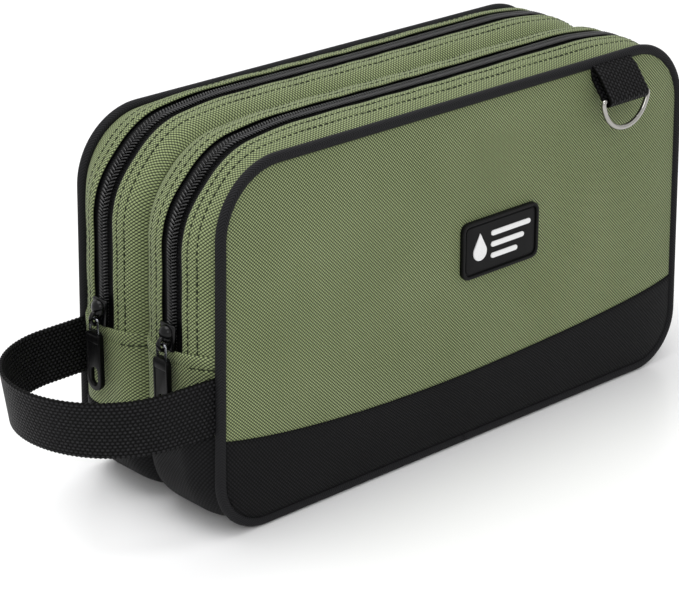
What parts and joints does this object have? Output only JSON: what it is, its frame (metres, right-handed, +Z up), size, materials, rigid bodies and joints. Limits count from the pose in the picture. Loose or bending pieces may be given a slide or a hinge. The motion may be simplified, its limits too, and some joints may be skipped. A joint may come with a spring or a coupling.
{
  "type": "wash bag",
  "caption": "Fabric wash bag with two zipped compartments sewn back to back, piped edges, a webbing carry handle on one end and a D-ring on the front.",
  "frame": {"origin": "middle of the base, on the floor", "axes": "+X along the bag to its plain end, -X to the carry handle, -Y to the front with the patch and D-ring, +Z up"},
  "size_m": [0.3488, 0.1064, 0.1654],
  "materials": {
    "green_fabric": "woven polyester, olive green, matt with a slight sheen",
    "black_fabric": "woven polyester, black, matt",
    "binding": "herringbone twill binding tape, black",
    "zip_tape": "woven zip tape, black",
    "zip_coil": "nylon coil, black",
    "slider_enamel": "die-cast zinc, black enamel",
    "pull_tab": "moulded soft plastic, black",
    "webbing": "coarse polypropylene webbing, black",
    "nickel": "bright nickel plate on steel wire",
    "patch_rubber": "moulded soft rubber, black",
    "patch_white": "raised white rubber",
    "lining": "smooth polyester lining, dark grey"
  },
  "bodies": {
    "root": {"front_panel_lower": "green_fabric", "front_base_band": "black_fabric", "front_piping_lower": "binding", "front_gusset_fixed_strip": "green_fabric", "front_end_panel_left": "green_fabric", "front_end_panel_right": "green_fabric", "front_base_wrap": "black_fabric", "front_zip_tape_fixed": "zip_tape", "front_zip_coil_fixed": "zip_coil", "front_zip_end_left": "zip_tape", "front_zip_end_right": "zip_tape", "front_lining_tub": "lining", "handle_end_front": "webbing", "back_panel_lower": "green_fabric", "back_base_band": "black_fabric", "back_piping_lower": "binding", "back_gusset_fixed_strip": "green_fabric", "back_end_panel_left": "green_fabric", "back_end_panel_right": "green_fabric", "back_base_wrap": "black_fabric", "back_zip_tape_fixed": "zip_tape", "back_zip_coil_fixed": "zip_coil", "back_zip_end_left": "zip_tape", "back_zip_end_right": "zip_tape", "back_lining_tub": "lining", "handle_end_back": "webbing", "divider_wall": "green_fabric"},
    "front_flap": {"front_panel_lid": "green_fabric", "front_piping_lid": "binding", "front_gusset_lid_strip": "green_fabric", "front_zip_tape_lid": "zip_tape", "front_zip_coil_lid": "zip_coil", "front_lining_lid": "lining", "patch": "patch_rubber", "patch_drop": "patch_white", "patch_bar_1": "patch_white", "patch_bar_2": "patch_white", "patch_bar_3": "patch_white"},
    "back_flap": {"back_panel_lid": "green_fabric", "back_piping_lid": "binding", "back_gusset_lid_strip": "green_fabric", "back_zip_tape_lid": "zip_tape", "back_zip_coil_lid": "zip_coil", "back_lining_lid": "lining"},
    "front_slider": {"front_zip_slider": "slider_enamel"},
    "back_slider": {"back_zip_slider": "slider_enamel"},
    "front_puller": {"front_pull_link": "slider_enamel", "front_pull_tab": "pull_tab"},
    "back_puller": {"back_pull_link": "slider_enamel", "back_pull_tab": "pull_tab"},
    "handle": {"handle_strap": "webbing"},
    "ring_loop": {"dring_loop": "webbing"},
    "ring": {"d_ring": "nickel"}
  },
  "joints": [
    {"name": "front_flap_hinge", "type": "hinge", "parent": "root", "child": "front_flap", "pos_m": [0, -0.0473, 0.0755], "axis": [1, 0, 0], "range_deg": [0, 80]},
    {"name": "back_flap_hinge", "type": "hinge", "parent": "root", "child": "back_flap", "pos_m": [0, 0.0473, 0.0755], "axis": [-1, 0, 0], "range_deg": [0, 80]},
    {"name": "front_slider_slide", "type": "slide", "parent": "root", "child": "front_slider", "axis": [0.0259, 0, 0.9997], "range_m": [0, 0.033]},
    {"name": "back_slider_slide", "type": "slide", "parent": "root", "child": "back_slider", "axis": [0.0259, 0, 0.9997], "range_m": [0, 0.033]},
    {"name": "front_pull_hinge", "type": "hinge", "parent": "front_slider", "child": "front_puller", "pos_m": [-0.14912, -0.0225, 0.08403], "axis": [0, 1, 0], "range_deg": [0, 150]},
    {"name": "back_pull_hinge", "type": "hinge", "parent": "back_slider", "child": "back_puller", "pos_m": [-0.1492, 0.0225, 0.08124], "axis": [0, 1, 0], "range_deg": [0, 150]},
    {"name": "handle_swing", "type": "hinge", "parent": "root", "child": "handle", "pos_m": [-0.1475, 0, 0.0585], "axis": [0, 1, 0], "range_deg": [-20, 20], "stiffness_Nm_per_rad": 0.15, "springref_deg": 0.86},
    {"name": "ring_loop_hinge", "type": "hinge", "parent": "front_flap", "child": "ring_loop", "pos_m": [0.088, -0.0474, 0.1536], "axis": [1, 0, 0], "range_deg": [-60, 5], "stiffness_Nm_per_rad": 0.02, "springref_deg": -1.15},
    {"name": "ring_swing", "type": "hinge", "parent": "ring_loop", "child": "ring", "pos_m": [0.088, -0.05631, 0.14469], "axis": [1, 0, 0], "range_deg": [-110, 20]}
  ]
}
